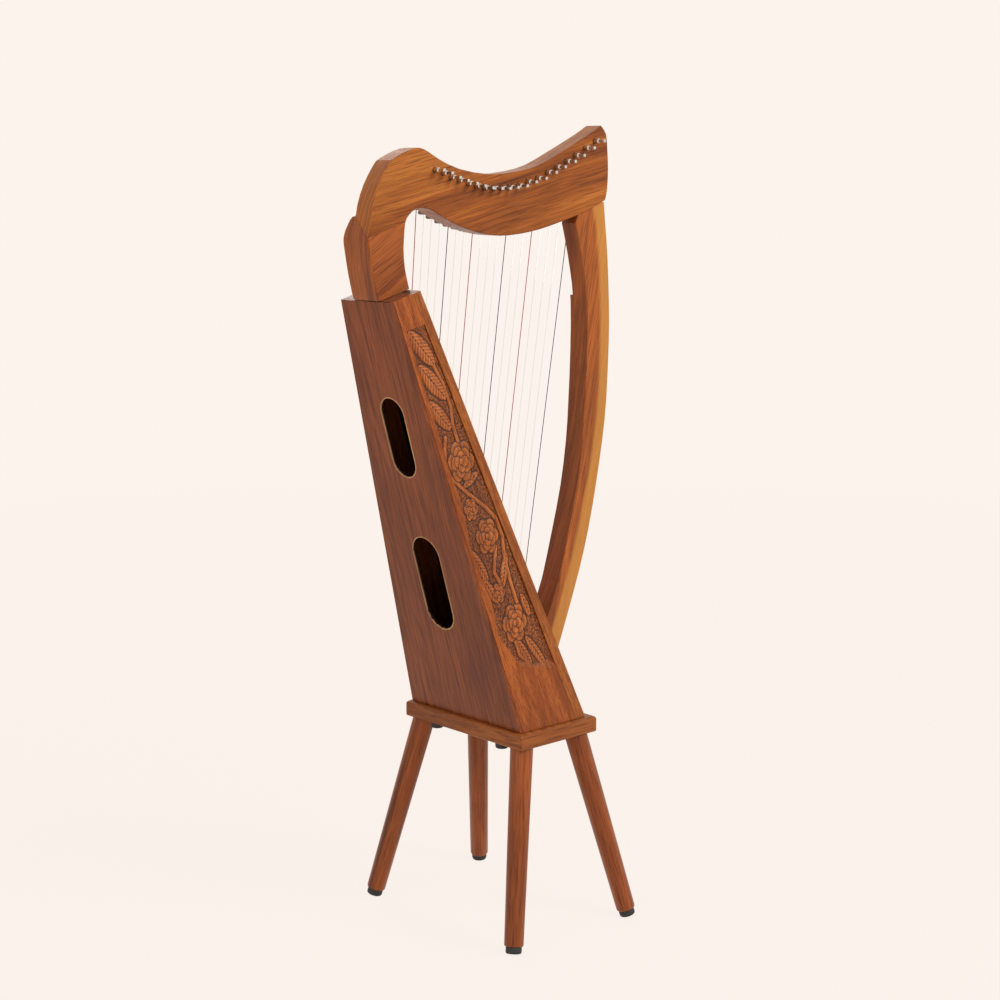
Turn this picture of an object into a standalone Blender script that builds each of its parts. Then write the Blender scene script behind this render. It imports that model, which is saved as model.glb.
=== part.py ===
"""Small floor harp: carved soundbox on a four-legged base plate, with neck, pillar and 19 strings.

Outlines are in millimetres in the side view (x towards the pillar, z up). The player's left, the
string side, is +y. The object stands on z = 0 with its box centred on x = y = 0.
"""
import math
import bpy
import bmesh
from mathutils import Vector

MM = 0.001
GAP = 0.3                      # clearance left between pieces that touch
OVERSHOOT = 5.0                # how far cutting shapes reach past the wood
NEAR = 0.05                    # outline points closer than this are one point

# Neck, post and pillar
NECK_Y = (-23.0, 5.0)          # 28 mm plank
POST_HALF = 23.0               # the shoulder post is 46 mm thick
PILLAR_Y = (-20.0, 10.5)       # pillar thickness below its relief
PILLAR_RELIEF_Y = 5.0          # string side of the pillar above the relief
RELIEF_CORNERS = ((100.0, 769.0), (215.0, 900.0))
PILLAR_GAP = 0.4               # clearance at the pillar's two ends
PILLAR_TOP_X = (133.0, 184.0)
PILLAR_HEAD_Z = 860.0
PILLAR_FOOT_Z = (258.5, 297.0)
EDGE_BREAK = 1.2               # broken edges of the planks

# Soundbox, seen from the side
BACK_LINE = ((-32.5, 258.1), (-181.8, 776.3))
BOARD_LINE = ((76.7, 258.1), (-137.8, 788.7))
SEAM_LINE = ((62.0, 258.1), (-148.5, 785.7))
BOX_HALF_BOTTOM = 100.3        # half width of the box at the base plate
BOX_TAPER = 0.1055             # half width lost for each millimetre of height
BACK_PANEL = 4.0
SIDE_PANEL = 5.0
BOARD_PLATE = 4.0
HOLLOW_REACH = 30.0            # past the soundboard's thickest place
BOARD_RIM = 12.0               # width of the rim left round the hollow of the soundboard
TOP_BLOCK = 18.0
SOUND_HOLES = ((182.6, 48.0, 122.0), (371.5, 41.0, 100.0))     # distance up the back, width, height
CARVING_DEPTH = 2.4
CARVING_OUTLINE = ((-162.1, 743.9), (-132.0, 751.3), (38.8, 325.2), (-12.7, 335.5),
                   (-22.4, 337.2), (-37.2, 354.2), (-57.2, 381.4), (-64.3, 424.2),
                   (-78.8, 455.8), (-90.9, 492.6), (-98.8, 540.3), (-114.3, 582.0),
                   (-131.0, 640.8))

# Base plate and legs
PLATE_X = (-38.2, 90.2)
PLATE_HALF_Y = 108.0
PLATE_Z = (238.7, 258.1)
PLATE_CORNER = 2.5
LEGS = {"back": ((-21.0, 90.0), (-73.8, 132.2)), "front": ((69.1, 90.0), (116.4, 139.5))}
LEG_R_TOP = 14.0
LEG_R_FOOT = 11.75
STUB_R = 4.0
STUB_LENGTH = 13.0
STUB_PLAY = 0.8
TIP_R = 9.75
TIP_LENGTH = 8.0
TIP_FLAT = 1.2                 # how far the rubber tip is worn flat on the floor
BUMPER_R = 8.5
BUMPER_LENGTH = 8.0
BUMPERS = ((-26.0, 60.0), (78.0, 60.0))

# Strings, tuning pins and bridge pins
PIN_R = 3.1
PIN_PLAY = 0.4                 # the holes are this much wider than the pins
PIN_TIP_Y = -41.0
PIN_END_Y = 21.0
BRIDGE_R = 2.4
BRIDGE_Y = (0.0, 18.0)
BRIDGE_RISE = 4.0              # bridge pins sit this far above the neck's lower edge
STRING_Y = 13.6
STRING_R = 0.5
WRAP_PLAY = 0.1                # added to the gap where a string bends round a pin
COIL_TURNS = 2.0
COIL_STEPS = 8                 # points for each turn
COIL_PITCH = 1.6
HOLE_R = 1.3
HOLE_SPAN = (12.0, 8.0)        # string holes run this far below and above the soundboard's face
FOOT_FIRST = 524.6             # distance of the shortest string's foot up the soundboard
FOOT_STEP = -24.93
RIB_HALF_WIDTH = 9.0
RIB_THICKNESS = 3.0
RIB_ENDS = (55.0, 545.0)       # distances up the soundboard
RIB_SLOPE = 1.5                # the rib's top is this much narrower on each side
TUNING_PINS = ((-96.6, 923.7), (-84.4, 920.4), (-72.2, 915.3), (-59.9, 911.8), (-46.0, 908.4),
               (-33.4, 905.4), (-20.8, 903.1), (-6.5, 902.4), (6.3, 902.3), (19.2, 903.4),
               (33.9, 905.1), (48.6, 909.7), (65.2, 913.8), (81.8, 920.9), (96.9, 927.4),
               (113.9, 934.0), (129.2, 941.3), (146.4, 950.4), (163.8, 959.0))
BRIDGE_X = (-97.2, -85.6, -73.8, -60.6, -47.7, -35.0, -22.9, -9.2, 4.6, 18.6, 32.1, 46.1, 61.4,
            75.3, 90.4, 105.0, 121.4, 136.9, 154.9)
RED_STRINGS = (1, 8, 15)
BLACK_STRINGS = (5, 12, 19)

# Side outlines: stretches between corners, each a smooth curve through its knots
BACK_EDGE = ((-181.2, 777.2), (-184.0, 784.6), (-189.5, 807.3), (-193.5, 829.7), (-196.0, 848.7),
             (-193.1, 863.0), (-189.2, 885.1), (-179.6, 908.2), (-166.4, 928.1), (-160.5, 934.7))
NECK_TOP = ((-160.5, 934.7), (-148.8, 940.3), (-134.0, 946.0), (-118.4, 948.9), (-104.3, 944.0),
            (-89.2, 936.2), (-58.6, 925.2), (-11.5, 918.9), (36.9, 922.6), (69.9, 929.8),
            (103.4, 943.6), (154.9, 966.9), (175.8, 977.9))
NECK_NOSE = ((175.8, 977.9), (184.8, 967.9), (187.4, 950.0), (189.0, 923.9), (187.6, 899.3),
             (184.2, 887.0))
UNDER_EDGE = ((184.2, 887.0), (173.6, 882.2), (138.6, 869.8), (104.2, 860.6), (70.4, 852.8),
              (37.2, 848.1), (4.6, 846.7), (-27.4, 850.9), (-58.8, 859.4), (-89.6, 872.6),
              (-104.7, 879.6), (-122.7, 880.4), (-134.7, 873.2), (-139.6, 866.4), (-141.5, 856.5),
              (-143.2, 835.0), (-141.9, 816.9), (-139.7, 805.5), (-135.4, 789.9))
NECK_LOW_Z = 834.0             # the neck's and the post's outlines overlap from here
POST_TOP = ((-150.0, 897.0), (-123.0, 901.0))          # to here, and the slanted joint parts them
JOINT_BACK = (-196.0, 848.7)   # joint on the near face
JOINT_FRONT = (-139.6, 866.4)
JOINT_RISE = 0.806             # climb of the joint towards the string side
JOINT_X = (-215.0, -122.7)     # the joint's plane is used between these places
JOINT_BELOW = 800.0            # cutting wedges end at these heights
JOINT_ABOVE = 960.0
POST_HIGH_Z = 886.0
POST_FOOT_Z = 792.0
FOOT_NEAR = 1.5                # edges this close to the soundbox's top butt it
CHEEK_CENTRE_Z = 828.0
CHEEK_HEIGHT = 45.0
CHEEK_SWEEP = 78.0
CHEEK_TOP_Z = 930.0
CHEEK_X = (-205.0, -110.0)
PILLAR_OUTER = ((184.6, 884.2), (187.7, 856.0), (191.9, 818.6), (195.4, 762.1), (196.0, 711.5),
                (192.2, 635.4), (186.2, 588.4), (176.0, 534.0), (162.3, 474.7), (144.9, 418.5),
                (113.5, 337.3), (81.0, 258.5))
PILLAR_INNER = ((61.0, 298.0), (101.5, 396.5), (110.5, 420.0), (125.2, 471.3), (139.9, 527.8),
                (149.2, 584.9), (153.2, 635.8), (156.1, 699.2), (156.0, 762.0), (149.6, 802.8),
                (140.5, 840.3), (135.1, 858.9))

MATERIALS = {}


def material(name, colour, roughness, metallic=0.0):
    if name not in MATERIALS:
        mat = bpy.data.materials.new(name)
        mat.use_nodes = True
        shader = mat.node_tree.nodes["Principled BSDF"]
        shader.inputs["Base Color"].default_value = (*colour, 1.0)
        shader.inputs["Roughness"].default_value = roughness
        shader.inputs["Metallic"].default_value = metallic
        mat.diffuse_color = (*colour, 1.0)
        MATERIALS[name] = mat
    return MATERIALS[name]


def wood():
    return material("lacquered_rosewood", (0.33, 0.125, 0.045), 0.32)


def dark_wood():
    return material("dark_rosewood", (0.17, 0.06, 0.025), 0.35)


def rubber():
    return material("black_rubber", (0.012, 0.012, 0.012), 0.75)


def nickel():
    return material("nickel", (0.66, 0.63, 0.58), 0.22, 1.0)


def string_material(number):
    if number in RED_STRINGS:
        return material("red_nylon", (0.45, 0.02, 0.03), 0.4)
    if number in BLACK_STRINGS:
        return material("black_nylon", (0.02, 0.02, 0.03), 0.4)
    return material("clear_nylon", (0.75, 0.72, 0.66), 0.35)


def add_object(name, bm, mat, smooth=False):
    bmesh.ops.recalc_face_normals(bm, faces=bm.faces)
    mesh = bpy.data.meshes.new(name)
    bm.to_mesh(mesh)
    bm.free()
    mesh.materials.append(mat)
    if smooth:
        mesh.shade_smooth()
        mesh.set_sharp_from_angle(angle=math.radians(35))
    obj = bpy.data.objects.new(name, mesh)
    bpy.context.scene.collection.objects.link(obj)
    return obj


def as_cutter(obj):
    obj.hide_render = True
    obj.display_type = "WIRE"
    return obj


def boolean(obj, cutter, operation="DIFFERENCE"):
    mod = obj.modifiers.new(cutter.name, "BOOLEAN")
    mod.operation = operation
    mod.solver = "EXACT"
    mod.object = as_cutter(cutter)


def curve_through(knots, steps=2):
    """Points of a smooth (Catmull-Rom) curve through the knots, both ends included."""
    knots = [Vector(k) for k in knots]
    ends = [2 * knots[0] - knots[1]] + knots + [2 * knots[-1] - knots[-2]]
    points = []
    for i in range(len(knots) - 1):
        a, b, c, d = ends[i:i + 4]
        for k in range(steps):
            t = k / steps
            points.append(0.5 * (2 * b + (c - a) * t + (2 * a - 5 * b + 4 * c - d) * t * t
                                 + (3 * b - a - 3 * c + d) * t ** 3))
    return points + [knots[-1]]


def closed_outline(*stretches):
    """Join stretches end to end, dropping points that repeat."""
    outline = []
    for point in (Vector(p) for stretch in stretches for p in stretch):
        if not outline or (point - outline[-1]).length > NEAR:
            outline.append(point)
    if (outline[0] - outline[-1]).length < NEAR:
        outline.pop()
    return outline


def loft(rings):
    """Closed solid from rings of equal point counts, in millimetres, capped at both ends."""
    bm = bmesh.new()
    loops = [[bm.verts.new(Vector(p) * MM) for p in ring] for ring in rings]
    for low, high in zip(loops, loops[1:]):
        for i in range(len(low)):
            j = (i + 1) % len(low)
            bm.faces.new((low[i], low[j], high[j], high[i]))
    bm.faces.new(loops[0])
    bm.faces.new(loops[-1])
    return bm


def plank(name, outline, y_range, mat, edge=EDGE_BREAK, butts=lambda x, z: False):
    """Side outline sawn from a board, its long edges broken except where it butts a neighbour."""
    obj = add_object(name, loft([[(p[0], y, p[1]) for p in outline] for y in y_range]), mat)
    if edge:
        mesh = obj.data
        weights = mesh.attributes.new("bevel_weight_edge", "FLOAT", "EDGE")
        for line in mesh.edges:
            a, b = (mesh.vertices[i].co / MM for i in line.vertices)
            rim = abs(a.y - b.y) < NEAR
            butted = butts(a.x, a.z) and butts(b.x, b.z)
            weights.data[line.index].value = 1.0 if rim and not butted else 0.0
        mod = obj.modifiers.new("broken_edges", "BEVEL")
        mod.width = edge * MM
        mod.segments = 1
        mod.limit_method = "WEIGHT"
    return obj


def half_width(z):
    return BOX_HALF_BOTTOM - BOX_TAPER * (z - BACK_LINE[0][1])


def board(name, outline, inner, outer, mat):
    """Tapered board of the soundbox; inner and outer give y for each height."""
    rings = [[(x, side(z), z) for x, z in outline] for side in (inner, outer)]
    return add_object(name, loft(rings), mat)


def on_line(line, z):
    (x0, z0), (x1, z1) = line
    return x0 + (x1 - x0) * (z - z0) / (z1 - z0)


def line_frame(line):
    """Start, direction up the line and normal towards +x of a side-view line."""
    start, end = Vector(line[0]), Vector(line[1])
    along = (end - start).normalized()
    return start, along, Vector((along.y, -along.x))


def strip(line, near, far, low, high):
    """Quadrilateral between two offsets of a line, cut level at low and square at high."""
    start, along, normal = line_frame(line)
    corners = []
    for offset, z in ((near, low), (far, low)):
        base = start + normal * offset
        corners.append(base + along * ((z - base.y) / along.y))
    for offset in (far, near):
        corners.append(start + normal * offset + along * high)
    return corners


def box_depth(distance_up):
    """Places across the box at a distance up its back: inside of the back panel and the seam."""
    start, along, normal = line_frame(BACK_LINE)
    base = start + along * distance_up
    seam_start, _, seam_normal = line_frame(SEAM_LINE)
    reach = (seam_start - base).dot(seam_normal) / normal.dot(seam_normal)
    return base + normal * (BACK_PANEL + GAP), base + normal * (reach - GAP)


def top_height(x):
    (x0, z0), (x1, z1) = BACK_LINE[1], BOARD_LINE[1]
    return z0 + (z1 - z0) * (x - x0) / (x1 - x0)


def cylinder_between(start, end, radius, sides):
    start, end = Vector(start), Vector(end)
    axis = (end - start).normalized()
    across = axis.orthogonal().normalized()
    other = axis.cross(across)
    rings = []
    for centre in (start, end):
        ring = []
        for k in range(sides):
            angle = 2 * math.pi * k / sides
            ring.append(centre + (across * math.cos(angle) + other * math.sin(angle)) * radius)
        rings.append(ring)
    return rings


def cylinders(name, ends, radius, sides, mat):
    """Several separate cylinders in one object, used to cut or to join."""
    bm = bmesh.new()
    for start, end in ends:
        part = loft(cylinder_between(start, end, radius, sides))
        mesh = bpy.data.meshes.new(name)
        bmesh.ops.recalc_face_normals(part, faces=part.faces)
        part.to_mesh(mesh)
        part.free()
        bm.from_mesh(mesh)
        bpy.data.meshes.remove(mesh)
    return add_object(name, bm, mat)


def under_edge():
    return curve_through(UNDER_EDGE)


def under_height(x):
    """Height of the neck's lower edge above a place along it."""
    for right, left in zip(under_edge(), under_edge()[1:]):
        if left.x <= x <= right.x:
            return left.y + (right.y - left.y) * (x - left.x) / (right.x - left.x)
    raise ValueError("no lower edge here")


def joint_block(name, y_range, drop, away):
    """Wedge on one side of the slanted joint between neck and post, used to cut."""
    start, stop = Vector(JOINT_BACK), Vector(JOINT_FRONT)
    along = (stop - start) / (stop.x - start.x)
    corners = [start + along * (x - start.x) - Vector((0, drop))
               for x in (JOINT_X[0], JOINT_X[1] - drop)]
    rings = []
    for y in y_range:
        lift = Vector((0, JOINT_RISE * (y - NECK_Y[0])))
        ring = [c + lift for c in corners] + [(corners[1].x, away), (corners[0].x, away)]
        rings.append([(p[0], y, p[1]) for p in ring])
    return add_object(name, loft(rings), wood())


def bridge_places():
    return [(x, under_height(x) + BRIDGE_RISE) for x in BRIDGE_X]


def make_neck():
    back = [p for p in curve_through(BACK_EDGE) if p.y > NECK_LOW_Z]
    under = [p for p in under_edge() if p.y > NECK_LOW_Z]
    outline = closed_outline(back, curve_through(NECK_TOP), curve_through(NECK_NOSE), under)
    neck = plank("neck", outline, NECK_Y, wood())
    boolean(neck, joint_block("neck_end", (NECK_Y[0] - OVERSHOOT, NECK_Y[1] + OVERSHOOT), 0.0, JOINT_BELOW))
    holes = [((x, NECK_Y[0] - OVERSHOOT, z), (x, NECK_Y[1] + OVERSHOOT, z))
             for x, z in TUNING_PINS]
    boolean(neck, cylinders("pin_holes", holes, PIN_R + PIN_PLAY, 12, wood()))
    pins = [((x, BRIDGE_Y[0], z), (x, BRIDGE_Y[1], z)) for x, z in bridge_places()]
    boolean(neck, cylinders("bridge_pins", pins, BRIDGE_R, 8, wood()), "UNION")


def make_shoulder_post():
    back = [p for p in curve_through(BACK_EDGE) if p.y < POST_HIGH_Z]
    front = [Vector((p.x - GAP, p.y)) if p.x > JOINT_X[1] - GAP else p
             for p in under_edge() if p.x < JOINT_X[1] + GAP]
    outline = closed_outline(back, POST_TOP, front)
    post = plank("shoulder_post", outline, (-POST_HALF, POST_HALF), wood(),
                 butts=lambda x, z: z < POST_FOOT_Z and z - top_height(x) < FOOT_NEAR)
    inner_y = NECK_Y[1] + GAP
    boolean(post, joint_block("post_end", (-POST_HALF - OVERSHOOT, inner_y), GAP, JOINT_ABOVE))
    arc = []
    for k in range(7):
        angle = math.radians(CHEEK_SWEEP * k / 6)
        arc.append((inner_y + (POST_HALF - inner_y) * math.cos(angle),
                    CHEEK_CENTRE_Z + CHEEK_HEIGHT * math.sin(angle)))
    outside = POST_HALF + OVERSHOOT
    arc += [(inner_y, arc[-1][1]), (inner_y, CHEEK_TOP_Z), (outside, CHEEK_TOP_Z),
            (outside, CHEEK_CENTRE_Z)]
    rings = [[(x, y, z) for y, z in arc] for x in CHEEK_X]
    boolean(post, add_object("cheek_rounding", loft(rings), wood()))


def pillar_butts(x, z):
    """Whether a place on the pillar's outline meets the neck or the soundboard."""
    if z > PILLAR_HEAD_Z:
        return z > under_height(min(x, PILLAR_TOP_X[1])) - 1.0
    return z < PILLAR_FOOT_Z[1] + 3.0 and x < on_line(BOARD_LINE, z) + 1.0


def make_pillar():
    top = [p - Vector((0, PILLAR_GAP)) for p in under_edge() if PILLAR_TOP_X[0] < p.x < PILLAR_TOP_X[1]]
    foot = [Vector((on_line(BOARD_LINE, z) + PILLAR_GAP, z)) for z in PILLAR_FOOT_Z]
    outline = closed_outline(reversed(top), curve_through(PILLAR_OUTER), foot,
                             curve_through(PILLAR_INNER))
    pillar = plank("pillar", outline, PILLAR_Y, wood(),
                   butts=pillar_butts)
    (left, low), (right, high) = RELIEF_CORNERS
    relief = [(left, low), (right, low), (right, high), (left, high)]
    boolean(pillar, plank("string_relief", relief, (PILLAR_RELIEF_Y, PILLAR_Y[1] + OVERSHOOT),
                          wood(), edge=0))


def make_base_plate():
    def ring(z, inset):
        points = []
        for corner_x, corner_y, first in ((1, 1, 0), (-1, 1, 90), (-1, -1, 180), (1, -1, 270)):
            centre_x = PLATE_X[1] - PLATE_CORNER if corner_x > 0 else PLATE_X[0] + PLATE_CORNER
            centre_y = corner_y * (PLATE_HALF_Y - PLATE_CORNER)
            for step in (0, 45, 90):
                angle = math.radians(first + step)
                points.append((centre_x - corner_x * inset + PLATE_CORNER * math.cos(angle),
                               centre_y - corner_y * inset + PLATE_CORNER * math.sin(angle), z))
        return points
    low, high = PLATE_Z
    rings = [ring(low, 0.8), ring(low + 0.8, 0.0), ring(high - 3.6, 0.0), ring(high - 1.4, 0.9),
             ring(high, 3.4)]
    plate = add_object("base_plate", loft(rings), wood())
    ends = []
    for start, axis in leg_axes().values():
        ends.append((start + axis * OVERSHOOT, start - axis * (STUB_LENGTH + GAP)))
    boolean(plate, cylinders("stub_holes", ends, STUB_R + STUB_PLAY, 8, wood()))


def leg_axes():
    """Top centre and downward direction of each leg, by name."""
    axes = {}
    for end, (top, foot) in LEGS.items():
        for side, sign in (("right", -1), ("left", 1)):
            start = Vector((top[0], sign * top[1], PLATE_Z[0]))
            stop = Vector((foot[0], sign * foot[1], 0.0))
            axes[end + "_" + side] = (start, (stop - start).normalized())
    return axes


def make_legs():
    sides = 16
    for name, (start, axis) in leg_axes().items():
        across = axis.orthogonal().normalized()
        other = axis.cross(across)
        lean = math.sqrt(1 - axis.z ** 2)
        reach = (start.z - TIP_R * lean + TIP_FLAT) / -axis.z

        def ring(radius, distance=None):
            points = []
            for k in range(sides):
                angle = 2 * math.pi * k / sides
                rim = start + (across * math.cos(angle) + other * math.sin(angle)) * radius
                drop = distance
                if drop is None:
                    drop = (PLATE_Z[0] - GAP - rim.z) / axis.z
                points.append(rim + axis * drop)
            return points
        wood_end = reach - TIP_LENGTH - GAP
        leg = loft([ring(STUB_R, -STUB_LENGTH), ring(STUB_R), ring(LEG_R_TOP),
                    ring(LEG_R_FOOT, wood_end - 2.0), ring(LEG_R_FOOT - 0.7, wood_end - 0.6),
                    ring(LEG_R_FOOT - 2.0, wood_end)])
        add_object("leg_" + name, leg, dark_wood(), smooth=True)
        tip = loft([ring(TIP_R, reach - TIP_LENGTH), ring(TIP_R, reach - 2.0),
                    ring(TIP_R - 0.5, reach - 0.6), ring(TIP_R - 1.6, reach)])
        cut = bmesh.ops.bisect_plane(tip, geom=tip.verts[:] + tip.edges[:] + tip.faces[:],
                                     plane_co=(0, 0, 0), plane_no=(0, 0, -1), clear_outer=True)
        rim = [e for e in cut["geom_cut"] if isinstance(e, bmesh.types.BMEdge)]
        bmesh.ops.contextual_create(tip, geom=rim)
        add_object("leg_tip_" + name, tip, rubber())


def make_bumpers():
    for end, (x, y) in zip(("back", "front"), BUMPERS):
        for side, sign in (("right", -1), ("left", 1)):
            rings = []
            for drop, radius in ((GAP, BUMPER_R), (BUMPER_LENGTH - 1.0, BUMPER_R - 0.6),
                                 (BUMPER_LENGTH, BUMPER_R - 1.8)):
                centre = (x, sign * y, PLATE_Z[0] - drop)
                rings.append(cylinder_between(centre, (x, sign * y, 0), radius, 16)[0])
            add_object("bumper_" + end + "_" + side, loft(rings), rubber(), smooth=True)


def make_back_panel():
    length = (Vector(BACK_LINE[1]) - Vector(BACK_LINE[0])).length
    outline = strip(BACK_LINE, 0.0, BACK_PANEL, PLATE_Z[1] + GAP, length)
    panel = board("back_panel", outline, lambda z: -half_width(z), half_width, wood())
    start, along, normal = line_frame(BACK_LINE)
    for number, (distance, width, height) in enumerate(SOUND_HOLES, 1):
        rings = []
        for offset in (-OVERSHOOT, BACK_PANEL + OVERSHOOT):
            ring = []
            for end, first in ((1, 0), (-1, 180)):
                for k in range(9):
                    angle = math.radians(first + 22.5 * k)
                    up = distance + end * (height - width) / 2 + width / 2 * math.sin(angle)
                    place = start + along * up + normal * offset
                    ring.append((place.x, width / 2 * math.cos(angle), place.y))
            rings.append(ring)
        boolean(panel, add_object("sound_hole_%d" % number, loft(rings), wood()))


def make_side_panels():
    length = (Vector(BACK_LINE[1]) - Vector(BACK_LINE[0])).length
    back_top, seam_top = box_depth(length)
    low = PLATE_Z[1] + GAP
    start, along, normal = line_frame(BACK_LINE)
    inner_back = start + normal * (BACK_PANEL + GAP)
    back_low = inner_back + along * ((low - inner_back.y) / along.y)
    seam_low = Vector((on_line(SEAM_LINE, low) - GAP / line_frame(SEAM_LINE)[2].x, low))
    outline = [back_low, seam_low, seam_top, back_top]
    for name, sign in (("side_panel_right", -1), ("side_panel_left", 1)):
        panel = board(name, outline, lambda z: sign * (half_width(z) - SIDE_PANEL),
                      lambda z: sign * half_width(z), wood())
        cutter = board("carving_" + name, CARVING_OUTLINE,
                       lambda z: sign * (half_width(z) - CARVING_DEPTH),
                       lambda z: sign * (half_width(z) + OVERSHOOT), wood())
        boolean(panel, cutter)


def make_top_block():
    length = (Vector(BACK_LINE[1]) - Vector(BACK_LINE[0])).length
    back_top, seam_top = box_depth(length)
    back_low, seam_low = box_depth(length - TOP_BLOCK)
    reach = SIDE_PANEL + GAP
    board("top_block", [back_low, seam_low, seam_top, back_top],
          lambda z: -(half_width(z) - reach), lambda z: half_width(z) - reach, dark_wood())


def make_soundboard():
    low = PLATE_Z[1] + GAP
    outline = [(on_line(SEAM_LINE, low), low), (on_line(BOARD_LINE, low), low), BOARD_LINE[1],
               SEAM_LINE[1]]
    soundboard = board("soundboard", outline, lambda z: -half_width(z), half_width, wood())
    length = (Vector(BOARD_LINE[1]) - Vector(BOARD_LINE[0])).length
    hollow = strip(BOARD_LINE, -BOARD_PLATE, -HOLLOW_REACH, PLATE_Z[1] + BOARD_RIM,
                   length - TOP_BLOCK - BOARD_RIM)
    cutter = board("board_hollow", hollow, lambda z: -(half_width(z) - BOARD_RIM),
                   lambda z: half_width(z) - BOARD_RIM, wood())
    boolean(soundboard, cutter)
    boolean(soundboard, string_holes("board_holes"))


def string_feet():
    start, along, _ = line_frame(BOARD_LINE)
    return [start + along * (FOOT_FIRST + FOOT_STEP * k) for k in range(len(BRIDGE_X))]


def string_holes(name):
    normal = line_frame(BOARD_LINE)[2]
    ends = []
    for foot in string_feet():
        inside, outside = foot - normal * HOLE_SPAN[0], foot + normal * HOLE_SPAN[1]
        ends.append(((inside.x, 0, inside.y), (outside.x, 0, outside.y)))
    return cylinders(name, ends, HOLE_R, 8, wood())


def make_string_rib():
    start, along, normal = line_frame(BOARD_LINE)
    rings = []
    for lift, inset in ((GAP, 0.0), (RIB_THICKNESS, RIB_SLOPE)):
        half = RIB_HALF_WIDTH - inset
        points = []
        for distance, sides in ((RIB_ENDS[0] + inset, (-half, half)),
                                (RIB_ENDS[1] - inset, (half, -half))):
            place = start + along * distance + normal * lift
            for y in sides:
                points.append((place.x, y, place.y))
        rings.append(points)
    rib = add_object("string_rib", loft(rings), dark_wood())
    boolean(rib, string_holes("rib_holes"))


def make_tuning_pin(number, x, z):
    """Pin with a square key end, its origin on the axis that it turns about."""
    def ring(y, radius, square=False):
        points = []
        for k in range(8):
            angle = math.radians(45 * k)
            stretch = 1.0
            if square:
                stretch = 1.0 if k % 2 else math.sqrt(0.5)
            points.append((radius * stretch * math.cos(angle), y,
                           radius * stretch * math.sin(angle)))
        return points
    rings = [ring(PIN_TIP_Y, 1.9, True), ring(PIN_TIP_Y + 0.6, 2.5, True),
             ring(PIN_TIP_Y + 9.5, 2.5, True), ring(PIN_TIP_Y + 11.0, PIN_R),
             ring(PIN_END_Y - 0.6, PIN_R), ring(PIN_END_Y, PIN_R - 0.6)]
    pin = add_object("tuning_pin_%02d" % number, loft(rings), nickel(), smooth=True)
    pin.location = (x * MM, 0.0, z * MM)


def make_string(number, foot, bridge, pin):
    """Nylon string: stop behind the board, over the bridge pin, wound on the tuning pin."""
    normal = line_frame(BOARD_LINE)[2]
    lean = Vector((bridge[0] - foot.x, bridge[1] - foot.y)).normalized()
    reach = STRING_R + WRAP_PLAY
    points = []
    for lift in (-9.0, -4.0, RIB_THICKNESS + 0.6):
        place = foot + normal * lift
        points.append((place.x, 0.0, place.y))
    exit_place = foot + normal * (RIB_THICKNESS + 1.6) + lean * 2.0
    points.append((exit_place.x, 0.2, exit_place.y))
    side = BRIDGE_R + GAP + reach
    touch = Vector((bridge[0] + side, bridge[1]))
    points.append((touch.x, STRING_Y, touch.y))
    coil_r = PIN_R + GAP + reach
    turns = int(COIL_TURNS * COIL_STEPS)
    for k in range(turns + 1):
        angle = 2 * math.pi * k / COIL_STEPS
        y = STRING_Y + COIL_PITCH * (COIL_TURNS - k / COIL_STEPS)
        points.append((pin[0] + coil_r * math.cos(angle), y, pin[1] + coil_r * math.sin(angle)))
    curve = bpy.data.curves.new("string_%02d" % number, "CURVE")
    curve.dimensions = "3D"
    curve.bevel_depth = STRING_R * MM
    curve.bevel_resolution = 1
    curve.use_fill_caps = True
    spline = curve.splines.new("POLY")
    spline.points.add(len(points) - 1)
    for spot, place in zip(spline.points, points):
        spot.co = (*(Vector(place) * MM), 1.0)
    curve.materials.append(string_material(number))
    obj = bpy.data.objects.new("string_%02d" % number, curve)
    bpy.context.scene.collection.objects.link(obj)


def make_strings():
    places = zip(string_feet(), bridge_places(), TUNING_PINS)
    for number, (foot, bridge, pin) in enumerate(places, 1):
        make_tuning_pin(number, *pin)
        make_string(number, foot, bridge, pin)


def main():
    for obj in list(bpy.data.objects):
        bpy.data.objects.remove(obj, do_unlink=True)
    make_neck()
    make_shoulder_post()
    make_pillar()
    make_back_panel()
    make_side_panels()
    make_top_block()
    make_soundboard()
    make_string_rib()
    make_base_plate()
    make_legs()
    make_bumpers()
    make_strings()


main()
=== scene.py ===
"""Looks of the small floor harp: lacquered rosewood, carved sides, nickel pins, nylon strings."""
import math
import bpy
import bmesh
import numpy as np
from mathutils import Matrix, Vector


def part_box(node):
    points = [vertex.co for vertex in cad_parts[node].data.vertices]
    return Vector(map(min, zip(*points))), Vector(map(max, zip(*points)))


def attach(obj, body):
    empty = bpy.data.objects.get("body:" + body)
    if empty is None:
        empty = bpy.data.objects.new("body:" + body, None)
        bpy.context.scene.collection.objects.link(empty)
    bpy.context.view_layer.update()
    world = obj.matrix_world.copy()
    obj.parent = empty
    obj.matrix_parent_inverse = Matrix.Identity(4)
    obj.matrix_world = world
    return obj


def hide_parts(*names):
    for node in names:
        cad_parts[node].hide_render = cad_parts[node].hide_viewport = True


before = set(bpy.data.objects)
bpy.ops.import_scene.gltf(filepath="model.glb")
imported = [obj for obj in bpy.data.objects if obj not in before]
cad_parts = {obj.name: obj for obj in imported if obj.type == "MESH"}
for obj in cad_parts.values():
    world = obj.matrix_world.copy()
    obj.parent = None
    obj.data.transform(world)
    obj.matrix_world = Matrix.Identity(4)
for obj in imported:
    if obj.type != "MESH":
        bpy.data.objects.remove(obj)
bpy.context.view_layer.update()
MM = 0.001

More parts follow.
